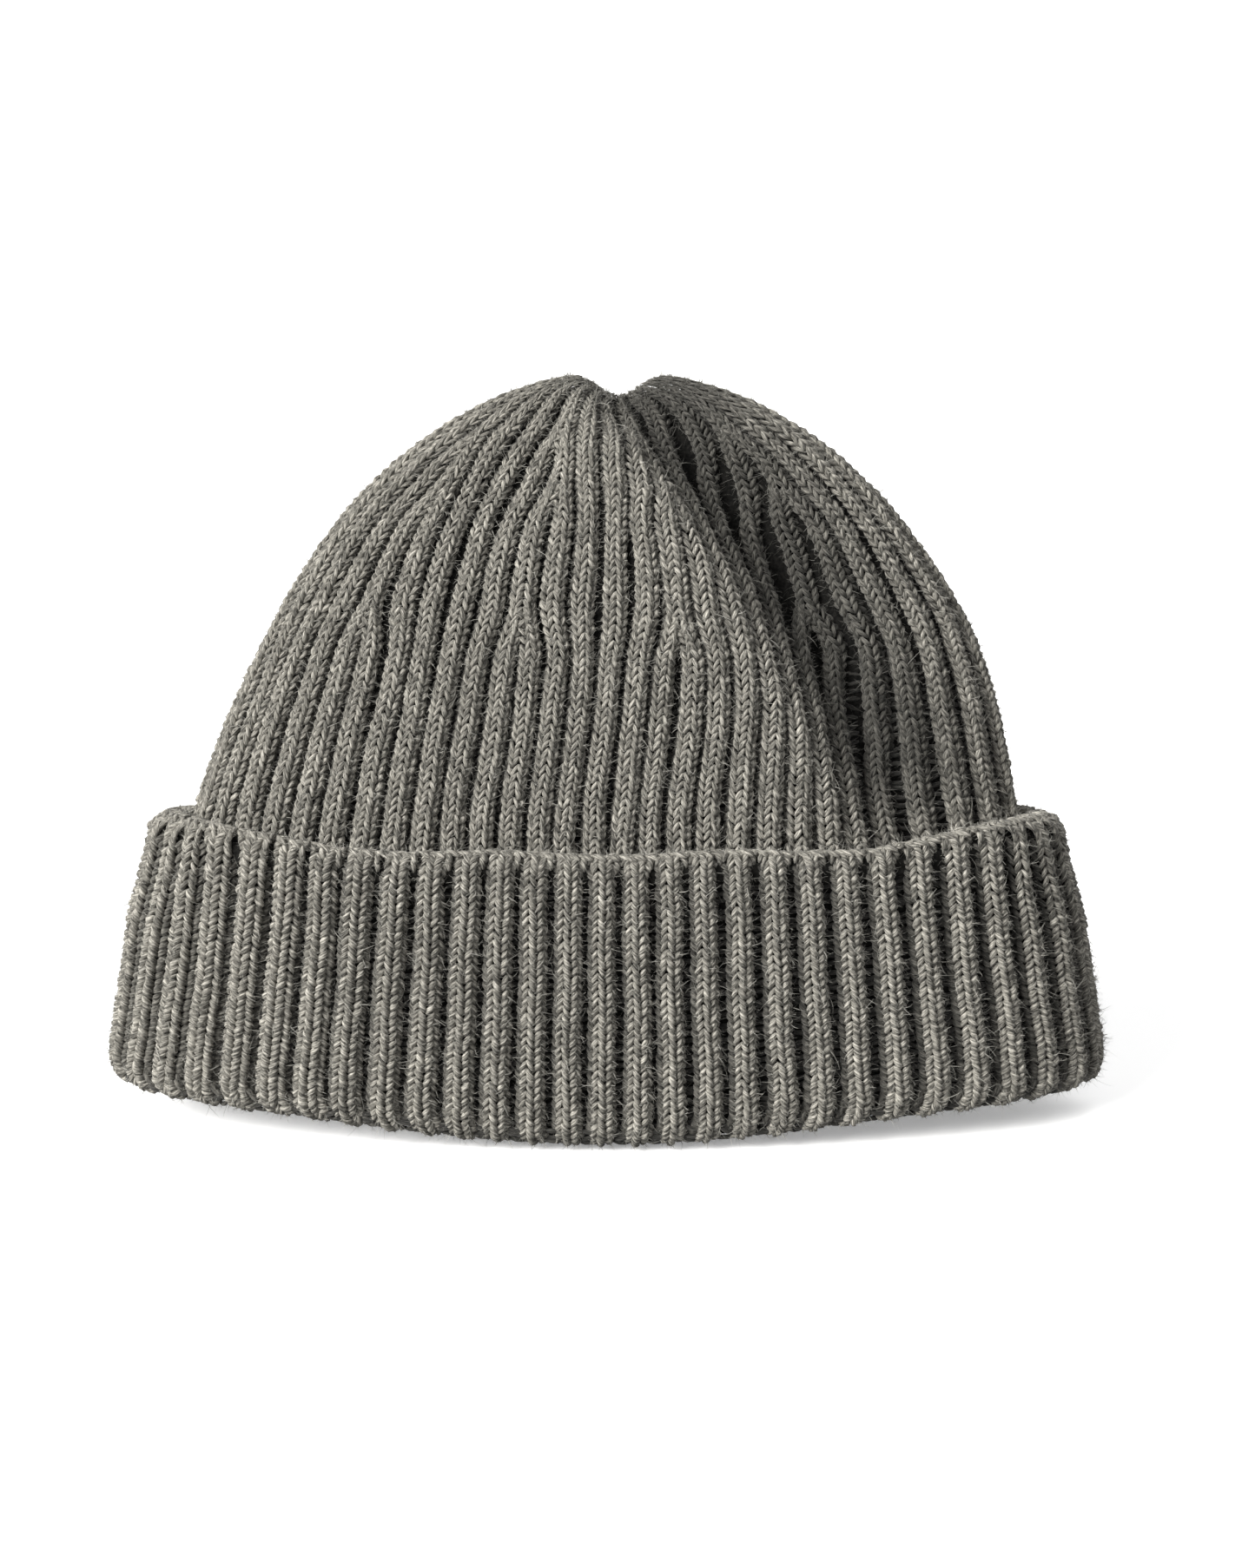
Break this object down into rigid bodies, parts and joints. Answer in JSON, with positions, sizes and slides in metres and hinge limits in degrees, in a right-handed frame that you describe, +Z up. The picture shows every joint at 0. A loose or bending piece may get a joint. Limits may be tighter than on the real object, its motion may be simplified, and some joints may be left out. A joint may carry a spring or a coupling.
{
  "type": "knit beanie",
  "caption": "Rib-knit beanie with one turned-up cuff, flattened and standing on its folded edge, with an open head cavity and a gathered crown.",
  "frame": {"origin": "centre of the footprint, on the surface the folded edge stands on", "axes": "+X along the hat's width, front of the hat towards -Y, +Z up to the crown"},
  "size_m": [0.24, 0.088, 0.1765],
  "materials": {
    "cuff_rib_panel": "matt heathered wool rib",
    "cuff_fold_roll": "matt heathered wool rib",
    "cuff_cast_on_edge": "matt heathered wool edge",
    "cuff_back_seam": "matt wool seam yarn",
    "brim_inner_band": "matt heathered wool rib",
    "body_rib_wall": "matt heathered wool rib",
    "crown_first_decrease": "matt heathered wool rib",
    "crown_second_decrease": "matt heathered wool rib",
    "crown_gathered_tip": "matt heathered wool rib",
    "body_back_seam": "matt wool seam yarn",
    "gather_thread": "matt wool yarn",
    "gather_knot": "matt wool yarn"
  },
  "bodies": {
    "cuff": {"cuff_rib_panel": "cuff_rib_panel", "cuff_fold_roll": "cuff_fold_roll", "cuff_cast_on_edge": "cuff_cast_on_edge", "cuff_back_seam": "cuff_back_seam"},
    "hat": {"brim_inner_band": "brim_inner_band", "body_rib_wall": "body_rib_wall", "crown_first_decrease": "crown_first_decrease", "crown_second_decrease": "crown_second_decrease", "crown_gathered_tip": "crown_gathered_tip", "body_back_seam": "body_back_seam", "gather_thread": "gather_thread", "gather_knot": "gather_knot"}
  },
  "joints": [
    {"name": "cuff_turn_down", "type": "slide", "parent": "cuff", "child": "hat", "axis": [0, 0, 1], "range_m": [0, 0.052]}
  ]
}
